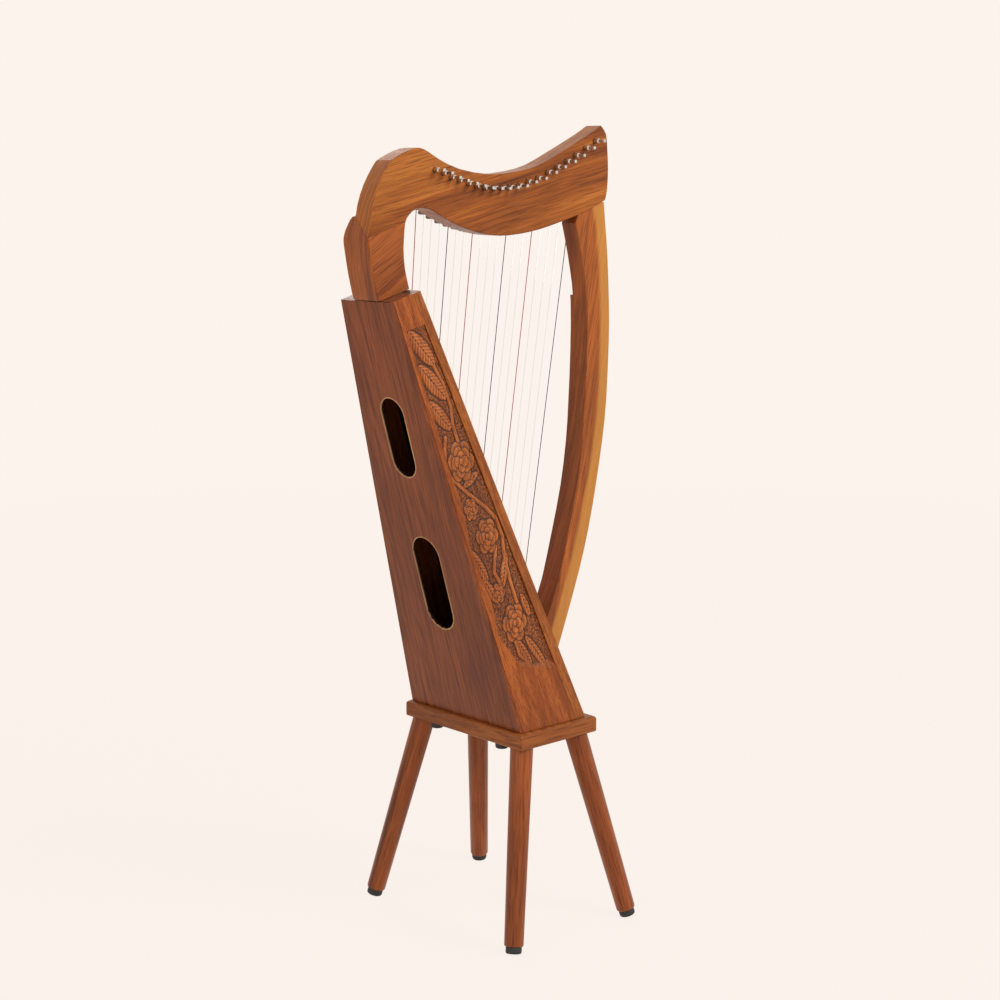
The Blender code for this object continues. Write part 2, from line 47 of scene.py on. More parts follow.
# Camera of the photograph, found from the corners of the base plate and the soundbox
CAMERA_PLACE = (-1.5622, -1.7240, 0.9241)
CAMERA_YAW = 47.345
CAMERA_DOWN = 9.714
CAMERA_LENS = 69.46
CAMERA_SENSOR = 36.0
CAMERA_REACH = 50.0            # metres

# Studio: backdrop, floor and lamps (name, place, aim, size in metres, power in watts)
BACKGROUND = (0.973, 0.896, 0.838)
WORLD_LIGHT = (1.0, 0.97, 0.94)
WORLD_STRENGTH = 0.55
FLOOR_COLOUR = (0.85, 0.78, 0.72)
FLOOR_SIZE = 40.0
FLOOR_DROP = 0.0002            # the floor lies this far below the rubber tips
FLOOR_NEAR = 1.0               # metres: from here out to FLOOR_FAR the floor turns into backdrop
FLOOR_FAR = 3.5
FLOOR_GLOW = 0.94
LAMP_COLOUR = (1.0, 0.97, 0.93)
LAMPS = (("key", (0.9, -2.6, 2.3), (0.0, 0.0, 0.6), 1.4, 62.0),
         ("fill", (-2.8, -0.4, 1.5), (0.0, 0.0, 0.5), 1.6, 16.0),
         ("back", (0.8, 2.6, 1.6), (0.0, 0.0, 0.6), 1.6, 16.0))

# Woods: light, middle and dark tone, place in the grain, bands per metre
WOODS = {
    "neck": ((0.47, 0.158, 0.026), (0.32, 0.088, 0.012), (0.15, 0.036, 0.006), 0.31, 9.0),
    "post": ((0.40, 0.110, 0.022), (0.26, 0.064, 0.013), (0.10, 0.024, 0.007), 1.7, 14.0),
    "pillar": ((0.43, 0.118, 0.020), (0.27, 0.068, 0.012), (0.11, 0.027, 0.007), 2.3, 16.0),
    "back": ((0.26, 0.064, 0.013), (0.165, 0.036, 0.008), (0.08, 0.017, 0.005), 3.1, 22.0),
    "side": ((0.40, 0.105, 0.018), (0.27, 0.062, 0.010), (0.11, 0.026, 0.006), 4.4, 20.0),
    "board": ((0.38, 0.115, 0.022), (0.25, 0.066, 0.012), (0.13, 0.032, 0.007), 5.2, 15.0),
    "plate": ((0.34, 0.102, 0.019), (0.22, 0.058, 0.011), (0.11, 0.028, 0.006), 6.0, 18.0),
    "dark": ((0.25, 0.068, 0.018), (0.17, 0.042, 0.011), (0.08, 0.020, 0.006), 7.3, 20.0),
    "leg": ((0.34, 0.088, 0.020), (0.24, 0.058, 0.013), (0.10, 0.024, 0.008), 8.0, 30.0),
    "rim": ((0.62, 0.36, 0.17), (0.52, 0.28, 0.12), (0.36, 0.18, 0.07), 9.0, 40.0),
    "carved": ((0.46, 0.140, 0.034), (0.33, 0.090, 0.020), (0.17, 0.044, 0.011), 4.4, 20.0)}
COAT = 0.05
LEG_COAT = 0.1
ROUGHNESS = 0.34
COAT_ROUGHNESS = 0.16
GLOSS = 0.2
NECK_GRAIN = (1, 0, 0.22)
POST_GRAIN = (1, 0, 0.62)
PILLAR_GRAIN = (0.22, 0, 1)
SIDE_GRAIN = (-0.33, 0, 1)
PLATE_GRAIN = (0.05, 1, 0)
RIB_GRAIN = (-0.404, 0, 1)
RIM_GRAIN = (-0.288, 0, 1)
# Painted shade inside the soundbox: near-black colour on the inner faces, where shade falls inside
# the box
INSIDE_PAINTED_SHADE = (0.020, 0.012, 0.009)
INSIDE_SHADE_SHARPNESS = 2500.0
FACING = 0.6                   # faces that look this much along an axis count as facing it
UPRIGHT = ((1, 0, 0), (0, 1, 0.12), (0, 0, 1))     # facing, across and along for edges of planks
PLATE_END = ((0, 1, 0), (0, 0, 1), (1, 0, 0))

# Noise patterns: stretch across and along the grain, and cycles per metre
BAND_STRETCH = (1.0, 1.0, 0.07)
STREAK_STRETCH = (1.0, 1.0, 0.035)
STREAKS = 120.0
PORE_STRETCH = (1.0, 1.0, 0.03)
PORES = 900.0
CLOUD_STRETCH = (1.0, 1.0, 0.5)
CLOUDS = 14.0
EVEN = (1.0, 1.0, 1.0)
SPECKS = 700.0
PATCHES = 60.0
PITS = 560.0

# Sapwood: a bowed line along the pillar, in metres, beyond which the wood is pale
SAPWOOD_MIDDLE_Z = 0.72
SAPWOOD_BOW = 0.62
SAPWOOD_X = 0.1835
SAPWOOD_WAVER = 0.012
SAPWOOD_SHARPNESS = 160.0
SAPWOOD = (0.62, 0.290, 0.060)
SAPWOOD_SHARE = 0.58

# Soundbox: its lines seen from the side, in millimetres, and its tapering half width
SEAM_LINE = ((62.0, 258.1), (-148.5, 785.7))
BACK_LINE = ((-32.5, 258.1), (-181.8, 776.3))
BOARD_LINE = ((76.7, 258.1), (-137.8, 788.7))
BOX_HALF_BOTTOM = 100.3
BOX_TAPER = 0.1055
SIDE_PANEL = 5.0
BACK_SKIN = 0.0007             # metres of depth that keep the outside's colour
SIDE_SKIN = 0.0045
BOARD_SKIN = 0.0036

# Sound holes (distance up the back, width, height) and their edging (outwards, inwards)
SOUND_HOLES = ((182.6, 48.0, 122.0), (371.5, 41.0, 100.0))
RIM_PROFILE = ((-0.02, -0.25), (1.0, -0.25), (1.3, 0.0), (-0.02, 1.2))
RIM_INSET = 0.35
ARC_STEPS = 24

# Legs, in millimetres: top centre under the plate, place on the floor
PLATE_UNDER = 238.7
LEGS = {"back": ((-21.0, 90.0), (-73.8, 132.2)), "front": ((69.1, 90.0), (116.4, 139.5))}
LEG_SIDES = 64
LEG_R_TOP = 14.0
LEG_R_FOOT = 11.75
LEG_END = ((0.0, 2.2), (0.4, 0.9), (1.1, 0.25), (2.0, 0.0))       # smaller radius, above the end
TIP_R = 9.75
TIP_LENGTH = 8.0
TIP_FLAT = 1.2
TIP_PROFILE = ((0.3, 8.0), (0.0, 7.4), (0.0, 2.0), (0.4, 0.8), (1.5, 0.0))
GAP = 0.3

# Strings and bridge pins; a pin's profile gives y and how much wider it is than the neck's stub
STRING_COUNT = 19
RED_STRINGS = (1, 8, 15)
BLACK_STRINGS = (5, 12, 19)
STRING_Y = 13.6
STRING_REACH = 0.8             # a string's points this near to STRING_Y lie beside its bridge pin
COIL_HEIGHT = 0.02             # metres below the string's top that its windings take up
STRING_OFFSET = 3.3            # from the middle of a bridge pin to the string beside it
BRIDGE_R = 2.4
BRIDGE_PROFILE = ((5.05, 0.1), (17.0, 0.1), (17.8, 0.02), (18.15, -0.6))
BRIDGE_SIDES = 24

# Carved field of the side panels
CARVING_DEPTH = 2.4
CARVING_GRID = (520, 96)
CARVING_BORDER = ((-12.7, 335.5), (-22.4, 337.2), (-37.2, 354.2), (-57.2, 381.4), (-64.3, 424.2),
                  (-78.8, 455.8), (-90.9, 492.6), (-98.8, 540.3), (-114.3, 582.0),
                  (-131.0, 640.8), (-162.1, 743.9))
CARVING_TOP = (-132.8, 751.1)
CARVING_FOOT = (34.6, 325.9)
SEAM_MARGIN = 0.6
GROUND_LIFT = 0.08             # the carving's lowest places lie this far above the recess
SURFACE_DROP = 0.12
SIDE_FADE = 40.0
TOP_FADE = 300.0
RUNOUT = 3.5                   # the field's foot rises to the surface over this height
# Painted light and shade of the carving, kept in its relief attribute: low ground and creases
# darker, high parts and ridges lighter; at PLAIN_TONE the wood keeps its plain colour
PLAIN_TONE = 0.5               # shade of the plain wood round the carving
PAINTED_SHADE_BASE = 0.10
PAINTED_LIGHT_BY_HEIGHT = 0.56
PAINTED_CREASE_SHADE = 1.4
CREASE_REACH = 3
SEED = 7

# Leaves (base, tip, width), roses (place, radius), rings of petals (count, reach, size), stems
LEAVES = (((-158.5, 743.0), (-124.0, 704.0), 25.0), ((-147.6, 704.0), (-110.0, 664.0), 24.0),
          ((-136.5, 662.0), (-106.0, 628.0), 21.0), ((-92.0, 487.0), (-66.0, 447.0), 17.0),
          ((-14.8, 424.0), (-3.0, 396.0), 12.0), ((-28.0, 372.0), (-6.0, 338.5), 13.0),
          ((-12.0, 372.0), (18.5, 331.0), 14.0), ((-74.0, 450.0), (-52.0, 418.0), 15.0),
          ((-34.0, 476.0), (-44.0, 434.0), 13.0), ((-92.0, 560.0), (-70.0, 575.0), 12.0))
VEIN_SPACING = 5.2
RIB_WIDTH = 0.9
ROSES = ((-94.0, 590.0, 22.0), (-62.0, 499.0, 19.0), (-28.0, 391.0, 21.0), (-84.0, 533.0, 12.0),
         (-50.0, 430.0, 11.0))
PETAL_RINGS = ((6, 0.62, 0.44), (5, 0.42, 0.38), (4, 0.24, 0.30), (1, 0.0, 0.17))
PETAL_TURN = 0.8
ROSE_STRETCH = (1.12, 0.9)
STEM_WIDTH = 2.9
STEM_HEIGHT = 0.75
STEMS = (((-124.7, 702.6), (-112.8, 681.2), (-103.5, 654.1), (-103.0, 633.7), (-96.0, 612.0)),
         ((-115.7, 619.5), (-119.0, 592.0), (-112.0, 573.0), (-88.0, 553.0), (-62.0, 534.0),
          (-46.0, 518.0), (-38.0, 497.0), (-37.0, 470.0), (-30.0, 440.0), (-22.0, 415.0)),
         ((-50.0, 485.0), (-55.0, 455.0), (-44.0, 437.0)),
         ((-30.0, 372.0), (-24.0, 352.0), (-8.0, 338.0)))


def make_camera():
    data = bpy.data.cameras.new("camera")
    data.lens = CAMERA_LENS
    data.sensor_width = CAMERA_SENSOR
    data.clip_end = CAMERA_REACH
    camera = bpy.data.objects.new("camera", data)
    camera.location = CAMERA_PLACE
    camera.rotation_euler = (math.radians(90.0 - CAMERA_DOWN), 0.0,
                             math.radians(CAMERA_YAW - 90.0))
    bpy.context.scene.collection.objects.link(camera)
    bpy.context.scene.camera = camera


def new_material(name):
    mat = bpy.data.materials.new(name)
    mat.use_nodes = True
    tree = mat.node_tree
    tree.nodes.clear()
    return mat, tree


def node(tree, kind, **values):
    """New shader node of a kind, with its own settings."""
    made = tree.nodes.new("ShaderNode" + kind)
    for key, value in values.items():
        setattr(made, key, value)
    return made


def math_node(tree, operation, a, b=None, clamp=False):
    made = tree.nodes.new("ShaderNodeMath")
    made.operation = operation
    made.use_clamp = clamp
    for socket, value in zip(made.inputs, (a, b)):
        if value is None:
            continue
        if isinstance(value, (int, float)):
            socket.default_value = value
        else:
            tree.links.new(value, socket)
    return made.outputs[0]


def mix_colour(tree, factor, a, b, blend="MIX"):
    made = tree.nodes.new("ShaderNodeMix")
    made.data_type = "RGBA"
    made.blend_type = blend
    for socket, value in ((made.inputs[0], factor), (made.inputs[6], a), (made.inputs[7], b)):
        if isinstance(value, (int, float)):
            socket.default_value = value
        elif isinstance(value, tuple):
            socket.default_value = (*value, 1.0)
        else:
            tree.links.new(value, socket)
    return made.outputs[2]


def ramp(tree, factor, stops):
    made = tree.nodes.new("ShaderNodeValToRGB")
    elements = made.color_ramp.elements
    while len(elements) < len(stops):
        elements.new(0.5)
    for element, (place, colour) in zip(elements, stops):
        element.position = place
        element.color = (*colour, 1.0)
    tree.links.new(factor, made.inputs[0])
    return made.outputs[0]


def along_axis(tree, axis):
    """How far a point lies along an axis, in metres."""
    dot = node(tree, "VectorMath", operation="DOT_PRODUCT")
    tree.links.new(node(tree, "TexCoord").outputs["Object"], dot.inputs[0])
    dot.inputs[1].default_value = axis
    return dot.outputs["Value"]


def split_place(tree):
    """Separate x, y and z of a point, in metres."""
    split = node(tree, "SeparateXYZ")
    tree.links.new(node(tree, "TexCoord").outputs["Object"], split.inputs[0])
    return split.outputs


def grain_space(tree, along, seed):
    """Coordinates whose z runs along the grain, in metres."""
    grain = Vector(along).normalized()
    across = grain.orthogonal().normalized()
    if abs(grain.y) < 0.9:
        across = (Vector((0, 1, 0)) - grain * grain.y).normalized()
    combine = node(tree, "CombineXYZ")
    for socket, axis in zip(combine.inputs, (across, grain.cross(across), grain)):
        tree.links.new(math_node(tree, "ADD", along_axis(tree, axis), seed), socket)
    return combine.outputs[0]


def turned_grain(tree, space, seed, facing, across, along):
    """The same coordinates, but streaks run along the faces that look one way, not into them."""
    combine = node(tree, "CombineXYZ")
    combine.inputs[1].default_value = seed
    for socket, axis in ((combine.inputs[0], across), (combine.inputs[2], along)):
        tree.links.new(math_node(tree, "ADD", along_axis(tree, axis), seed), socket)
    look = node(tree, "VectorMath", operation="DOT_PRODUCT")
    tree.links.new(node(tree, "NewGeometry").outputs["Normal"], look.inputs[0])
    look.inputs[1].default_value = facing
    level = math_node(tree, "ABSOLUTE", look.outputs["Value"])
    pick = node(tree, "Mix")
    pick.data_type = "VECTOR"
    tree.links.new(math_node(tree, "GREATER_THAN", level, FACING), pick.inputs[0])
    tree.links.new(space, pick.inputs[4])
    tree.links.new(combine.outputs[0], pick.inputs[5])
    return pick.outputs[1]


def noise(tree, vector, stretch, scale, detail=4.0, roughness=0.55, distortion=0.0):
    mapping = node(tree, "Mapping")
    mapping.inputs["Scale"].default_value = stretch
    tree.links.new(vector, mapping.inputs["Vector"])
    made = node(tree, "TexNoise")
    tree.links.new(mapping.outputs[0], made.inputs["Vector"])
    made.inputs["Scale"].default_value = scale
    made.inputs["Detail"].default_value = detail
    made.inputs["Roughness"].default_value = roughness
    made.inputs["Distortion"].default_value = distortion
    return made.outputs["Fac"]


def wood(name, along, kind, shift=0.0, coat=COAT, stripe=None, carved=False, inside_shade=None,
         turned=None):
    """Lacquered open-grained wood: bands, streaks and pores run along the given direction."""
    light, middle, dark, seed, band = WOODS[kind]
    seed += shift
    mat, tree = new_material(name)
    space = grain_space(tree, along, seed)
    if turned:
        space = turned_grain(tree, space, seed, *turned)
    bands = noise(tree, space, BAND_STRETCH, band, 3.0, 0.5, 0.6)
    streaks = noise(tree, space, STREAK_STRETCH, STREAKS, 5.0, 0.6)
    pores = noise(tree, space, PORE_STRETCH, PORES, 2.0, 0.5)
    cloud = noise(tree, space, CLOUD_STRETCH, CLOUDS, 2.0)
    tone = math_node(tree, "ADD", math_node(tree, "MULTIPLY", bands, 0.62),
                     math_node(tree, "MULTIPLY", streaks, 0.38))
    colour = ramp(tree, tone, ((0.33, dark), (0.43, middle), (0.50, light), (0.55, middle),
                               (0.63, light), (0.72, dark)))
    pore_mask = ramp(tree, pores, ((0.38, (0.35, 0.28, 0.25)), (0.48, (1.0, 1.0, 1.0))))
    colour = mix_colour(tree, 0.6, colour, pore_mask, "MULTIPLY")
    shade = ramp(tree, cloud, ((0.3, (0.82, 0.80, 0.78)), (0.7, (1.08, 1.06, 1.04))))
    colour = mix_colour(tree, 1.0, colour, shade, "MULTIPLY")
    if stripe:
        colour = stripe(tree, colour, bands)
    # painted shade on the soundbox's inner faces
    if inside_shade:
        colour = paint_shade_inside(tree, colour, *inside_shade)
    height = math_node(tree, "ADD", math_node(tree, "MULTIPLY", pores, 0.6),
                       math_node(tree, "MULTIPLY", streaks, 0.4))
    bump = node(tree, "Bump")
    bump.inputs["Strength"].default_value = 0.12
    bump.inputs["Distance"].default_value = 0.0004
    if carved:
        # Painted shade in the carving's hollows and creases, and painted highlight on its high
        # parts and ridges, read from the relief attribute
        relief = node(tree, "Attribute", attribute_name="relief")
        painted_relief_shade = ramp(tree, relief.outputs["Fac"],
                      ((0.0, (0.10, 0.08, 0.08)), (0.22, (0.40, 0.36, 0.34)),
                       (PLAIN_TONE, (0.82, 0.80, 0.78)), (0.85, (1.30, 1.28, 1.22))))
        colour = mix_colour(tree, 0.9, colour, painted_relief_shade, "MULTIPLY")
        cells = node(tree, "TexVoronoi")
        cells.inputs["Scale"].default_value = PITS
        tree.links.new(node(tree, "TexCoord").outputs["Object"], cells.inputs["Vector"])
        ground = math_node(tree, "SUBTRACT", 1.0, relief.outputs["Fac"], clamp=True)
        pits = math_node(tree, "MULTIPLY", cells.outputs["Distance"], ground)
        height = math_node(tree, "ADD", height, math_node(tree, "MULTIPLY", pits, 3.0))
        bump.inputs["Strength"].default_value = 0.6
    tree.links.new(height, bump.inputs["Height"])
    shader = node(tree, "BsdfPrincipled")
    tree.links.new(colour, shader.inputs["Base Color"])
    rough = math_node(tree, "ADD", math_node(tree, "MULTIPLY", pores, -0.12), ROUGHNESS + 0.06)
    tree.links.new(rough, shader.inputs["Roughness"])
    shader.inputs["Coat Weight"].default_value = coat
    shader.inputs["Coat Roughness"].default_value = COAT_ROUGHNESS
    shader.inputs["Specular IOR Level"].default_value = GLOSS
    tree.links.new(bump.outputs[0], shader.inputs["Normal"])
    out = node(tree, "OutputMaterial")
    tree.links.new(shader.outputs[0], out.inputs[0])
    return mat


def paint_shade_inside(tree, colour, normal, depth):
    """Painted shade inside the soundbox: near-black colour on a piece's inner side, beyond a depth
    along a direction.
    """
    past = math_node(tree, "SUBTRACT", along_axis(tree, normal), depth)
    edge = math_node(tree, "MULTIPLY", past, INSIDE_SHADE_SHARPNESS, True)
    place = split_place(tree)
    reach = math_node(tree, "ADD", math_node(tree, "ABSOLUTE", place["Y"]),
                      math_node(tree, "MULTIPLY", place["Z"], BOX_TAPER))
    limit = (half_width(0.0) - SIDE_PANEL + 0.1) * MM
    within = math_node(tree, "MULTIPLY", math_node(tree, "SUBTRACT", limit, reach),
                       INSIDE_SHADE_SHARPNESS, True)
    return mix_colour(tree, math_node(tree, "MULTIPLY", edge, within), colour, INSIDE_PAINTED_SHADE)


def sapwood(tree, colour, bands):
    """Pale sapwood along the pillar's outer edge."""
    split = split_place(tree)
    curve = math_node(tree, "SUBTRACT", split["Z"], SAPWOOD_MIDDLE_Z)
    bow = math_node(tree, "MULTIPLY", math_node(tree, "MULTIPLY", curve, curve), SAPWOOD_BOW)
    place = math_node(tree, "ADD", split["X"], bow)
    place = math_node(tree, "ADD", place, math_node(tree, "MULTIPLY", bands, SAPWOOD_WAVER))
    edge = math_node(tree, "MULTIPLY", math_node(tree, "SUBTRACT", place, SAPWOOD_X),
                     SAPWOOD_SHARPNESS, True)
    pale = mix_colour(tree, SAPWOOD_SHARE, colour, SAPWOOD)
    return mix_colour(tree, edge, colour, pale)


def plain(name, colour, roughness, metallic=0.0, grain=0.0, transmission=0.0):
    """Rubber, metal or nylon, with a fine variation of tone and surface."""
    mat, tree = new_material(name)
    coords = node(tree, "TexCoord").outputs["Object"]
    speck = noise(tree, coords, EVEN, SPECKS, 3.0)
    wide = noise(tree, coords, EVEN, PATCHES, 2.0)
    darker = tuple(c * 0.78 for c in colour)
    shader = node(tree, "BsdfPrincipled")
    tree.links.new(mix_colour(tree, wide, darker, colour), shader.inputs["Base Color"])
    rough = math_node(tree, "ADD", math_node(tree, "MULTIPLY", speck, 0.14), roughness - 0.07)
    tree.links.new(rough, shader.inputs["Roughness"])
    shader.inputs["Metallic"].default_value = metallic
    if transmission:
        shader.inputs["Transmission Weight"].default_value = transmission
        shader.inputs["IOR"].default_value = 1.12
    bump = node(tree, "Bump")
    bump.inputs["Strength"].default_value = grain
    bump.inputs["Distance"].default_value = 0.0003
    tree.links.new(speck, bump.inputs["Height"])
    tree.links.new(bump.outputs[0], shader.inputs["Normal"])
    out = node(tree, "OutputMaterial")
    tree.links.new(shader.outputs[0], out.inputs[0])
    return mat


def paint(names, mat):
    for name in names:
        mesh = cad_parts[name].data
        mesh.materials.clear()
        mesh.materials.append(mat)


def dress_frame():
    """Materials of the wooden pieces, the rubber, the pins and the strings."""
    paint(["neck"], wood("wood_neck", NECK_GRAIN, "neck", turned=UPRIGHT))
    paint(["shoulder_post"], wood("wood_post", POST_GRAIN, "post", turned=UPRIGHT))
    paint(["pillar"], wood("wood_pillar", PILLAR_GRAIN, "pillar", stripe=sapwood, turned=UPRIGHT))
    back_along, back_in = box_axes(BACK_LINE)
    paint(["back_panel"], wood("wood_back", back_along, "back",
                               inside_shade=(back_in, plane_depth(BACK_LINE) + BACK_SKIN)))
    for name, sign in (("side_panel_right", -1), ("side_panel_left", 1)):
        inward = Vector((0, -sign, -BOX_TAPER)).normalized()
        base = Vector((0, sign * BOX_HALF_BOTTOM, BACK_LINE[0][1])) * MM
        paint([name], wood("wood_" + name, SIDE_GRAIN, "side",
                           inside_shade=(inward, base.dot(inward) + SIDE_SKIN)))
    board_along, board_in = box_axes(BOARD_LINE)
    paint(["soundboard"], wood("wood_board", board_along, "board",
                               inside_shade=(-board_in, BOARD_SKIN - plane_depth(BOARD_LINE))))
    paint(["base_plate"], wood("wood_plate", PLATE_GRAIN, "plate", turned=PLATE_END))
    paint(["string_rib", "top_block"], wood("wood_dark", RIB_GRAIN, "dark"))
    rubber = plain("rubber", (0.016, 0.016, 0.015), 0.62, grain=0.5)
    paint([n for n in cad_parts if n.startswith(("leg_tip", "bumper"))], rubber)
    make_legs(rubber)
    make_bridge_sleeves()
    make_hole_rims()
    nickel = plain("nickel", (0.72, 0.70, 0.66), 0.22, metallic=1.0, grain=0.05)
    paint([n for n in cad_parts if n.startswith("tuning_pin")], nickel)
    clear = plain("nylon_clear", (0.97, 0.94, 0.91), 0.10, transmission=1.0)
    red = plain("nylon_red", (0.50, 0.030, 0.040), 0.32)
    black = plain("nylon_black", (0.018, 0.018, 0.026), 0.32)
    for number in range(1, STRING_COUNT + 1):
        nylon = red if number in RED_STRINGS else black if number in BLACK_STRINGS else clear
        paint(["string_%02d" % number], nylon)


def box_axes(line):
    """Direction up a line of the soundbox's side view, and the direction square to it, +x side."""
    start, end = (Vector((p[0], 0, p[1])) for p in line)
    along = (end - start).normalized()
    return along, Vector((along.z, 0, -along.x))


def plane_depth(line):
    start = Vector((line[0][0], 0, line[0][1])) * MM
    return start.dot(box_axes(line)[1])


def add_mesh(name, rings, mat, body, angle=40, close=True):
    """Smooth-shaded piece from rings of points in millimetres."""
    bm = bmesh.new()
    loops = [[bm.verts.new(Vector(p) * MM) for p in ring] for ring in rings]
    for low, high in zip(loops, loops[1:] + ([] if close else [loops[0]])):
        for i in range(len(low)):
            j = (i + 1) % len(low)
            bm.faces.new((low[i], low[j], high[j], high[i]))
    if close:
        bm.faces.new(loops[0])
        bm.faces.new(loops[-1])
    bmesh.ops.recalc_face_normals(bm, faces=bm.faces)
    mesh = bpy.data.meshes.new(name)
    bm.to_mesh(mesh)
    bm.free()
    mesh.materials.append(mat)
    mesh.shade_smooth()
    mesh.set_sharp_from_angle(angle=math.radians(angle))
    obj = bpy.data.objects.new(name, mesh)
    bpy.context.scene.collection.objects.link(obj)
    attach(obj, body)
    return obj


def leg_ring(start, axis, radius, distance=None):
    """Circle round a leg's axis, at a distance down it or else level under the base plate."""
    across = axis.orthogonal().normalized()
    other = axis.cross(across)
    points = []
    for k in range(LEG_SIDES):
        angle = 2 * math.pi * k / LEG_SIDES
        rim = start + (across * math.cos(angle) + other * math.sin(angle)) * radius
        drop = (PLATE_UNDER - GAP - rim.z) / axis.z if distance is None else distance
        place = rim + axis * drop
        points.append((place.x, place.y, max(place.z, 0.0)))
    return points


def make_legs(rubber):
    """Turned legs and their rubber tips, round where the CAD solids are faceted."""
    for end, (top, foot) in LEGS.items():
        for side, sign in (("right", -1), ("left", 1)):
            name = end + "_" + side
            start = Vector((top[0], sign * top[1], PLATE_UNDER))
            stop = Vector((foot[0], sign * foot[1], 0.0))
            axis = (stop - start).normalized()
            lean = math.sqrt(1 - axis.z ** 2)
            reach = (start.z - TIP_R * lean + TIP_FLAT) / -axis.z
            wood_end = reach - TIP_LENGTH - GAP
            mat = wood("wood_leg_" + name, axis, "leg", shift=sign, coat=LEG_COAT)
            rings = [leg_ring(start, axis, LEG_R_TOP)]
            rings += [leg_ring(start, axis, LEG_R_FOOT - smaller, wood_end - above)
                      for smaller, above in LEG_END]
            leg = add_mesh("turned_leg_" + name, rings, mat, "frame")
            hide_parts("leg_" + name)
            rings = [leg_ring(start, axis, TIP_R - smaller, reach - above)
                     for smaller, above in TIP_PROFILE]
            tip = add_mesh("rubber_tip_" + name, rings, rubber, "frame")
            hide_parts("leg_tip_" + name)


def make_bridge_sleeves():
    """Dark metal bridge pins over the neck's own stubs; the strings bear on them."""
    mat = plain("bridge_metal", (0.16, 0.13, 0.11), 0.35, metallic=0.9)
    for number in range(1, STRING_COUNT + 1):
        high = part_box("string_%02d" % number)[1]
        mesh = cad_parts["string_%02d" % number].data
        beside = [v.co for v in mesh.vertices if abs(v.co.y / MM - STRING_Y) < STRING_REACH
                  and v.co.z < high.z - COIL_HEIGHT]
        x = sum(v.x for v in beside) / len(beside) / MM - STRING_OFFSET
        z = sum(v.z for v in beside) / len(beside) / MM
        rings = []
        for y, wider in BRIDGE_PROFILE:
            radius = BRIDGE_R + wider
            rings.append([(x + radius * math.cos(a), y, z + radius * math.sin(a))
                          for a in (2 * math.pi * k / BRIDGE_SIDES for k in range(BRIDGE_SIDES))])
        add_mesh("bridge_pin_%02d" % number, rings, mat, "frame")


def make_hole_rims():
    """Thin pale edging round the sound holes, proud of the back by a hair."""
    mat = wood("wood_rim", RIM_GRAIN, "rim")
    along, inward = box_axes(BACK_LINE)
    start = Vector((BACK_LINE[0][0], 0, BACK_LINE[0][1]))
    for number, (distance, width, height) in enumerate(SOUND_HOLES, 1):
        rings = []
        for grow, lift in RIM_PROFILE:
            ring = []
            for end, first in ((1, 0), (-1, 180)):
                for k in range(ARC_STEPS + 1):
                    angle = math.radians(first + 180 / ARC_STEPS * k)
                    radius = width / 2 - RIM_INSET + grow
                    up = distance + end * (height - width) / 2 + radius * math.sin(angle)
                    place = start + along * up + inward * lift
                    ring.append((place.x, radius * math.cos(angle), place.z))
            rings.append(ring)
        add_mesh("hole_rim_%d" % number, rings, mat, "frame", close=False)


def half_width(z):
    return BOX_HALF_BOTTOM - BOX_TAPER * (z - BACK_LINE[0][1])


def on_line(line, z):
    (x0, z0), (x1, z1) = line
    return x0 + (x1 - x0) * (z - z0) / (z1 - z0)


def smooth(value):
    value = np.clip(value, 0.0, 1.0)
    return value * value * (3.0 - 2.0 * value)


def leaf_height(x, z, base, tip, width):
    """A leaf's dome with a midrib and side veins; 0 outside it."""
    ax, az = tip[0] - base[0], tip[1] - base[1]
    length = math.hypot(ax, az)
    along = ((x - base[0]) * ax + (z - base[1]) * az) / length ** 2
    across = ((x - base[0]) * az - (z - base[1]) * ax) / length
    half = width * 0.5 * np.sqrt(np.clip(np.sin(np.pi * np.clip(along, 0, 1)) + 0.02, 0, 1))
    ratio = np.abs(across) / np.maximum(half, 0.01)
    body = smooth((1.0 - ratio) * 2.6) * ((along > 0) & (along < 1))
    rib = np.exp(-(across / RIB_WIDTH) ** 2)
    slant = along * length - np.abs(across) * 0.9
    veins = 0.5 + 0.5 * np.cos(slant * 2 * np.pi / VEIN_SPACING)
    return body * (0.42 + 0.30 * (1 - ratio).clip(0, 1) + 0.26 * veins - 0.34 * rib)


def rose_height(x, z, cx, cz, radius):
    """Rings of petals, each lying over the ring outside it, about a round heart."""
    dx, dz = (x - cx) * ROSE_STRETCH[0] / radius, (z - cz) * ROSE_STRETCH[1] / radius
    relief = np.zeros(x.shape)
    for ring, (count, reach, size) in enumerate(PETAL_RINGS):
        for k in range(count):
            angle = 2 * math.pi * k / count + PETAL_TURN * ring
            px, pz = dx - reach * math.cos(angle), dz - reach * math.sin(angle)
            r = np.hypot(px, pz) / size
            outward = (px * math.cos(angle) + pz * math.sin(angle)) / size
            petal = (0.42 + 0.14 * ring + 0.30 * outward) * (0.30 + 0.70 * smooth((1 - r) * 5.0))
            relief = np.where(r < 1, petal, relief)
    return relief


def stem_height(x, z, points):
    """A round stem along a chain of points."""
    best = np.full(x.shape, 1e9)
    for (x0, z0), (x1, z1) in zip(points, points[1:]):
        ax, az = x1 - x0, z1 - z0
        t = np.clip(((x - x0) * ax + (z - z0) * az) / (ax * ax + az * az), 0, 1)
        best = np.minimum(best, np.hypot(x - x0 - t * ax, z - z0 - t * az))
    return STEM_HEIGHT * np.sqrt(np.clip(1 - (best / STEM_WIDTH) ** 2, 0, 1))


